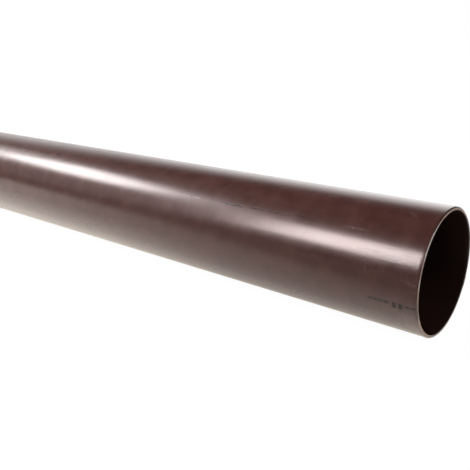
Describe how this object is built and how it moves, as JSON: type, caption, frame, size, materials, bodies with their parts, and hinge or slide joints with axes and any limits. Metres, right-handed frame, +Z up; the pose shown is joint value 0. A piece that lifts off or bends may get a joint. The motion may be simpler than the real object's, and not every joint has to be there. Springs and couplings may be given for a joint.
{
  "type": "downpipe",
  "caption": "Straight round plastic downpipe with a thin wall and plain, square-cut ends.",
  "frame": {"origin": "on the ground, under the middle of the pipe's length", "axes": "+X along the pipe towards the end that the picture shows, +Z up with the pipe lying down"},
  "size_m": [2, 0.11, 0.1096],
  "materials": {
    "brown_pvc": "gloss"
  },
  "bodies": {
    "root": {"downpipe": "brown_pvc"}
  },
  "joints": []
}
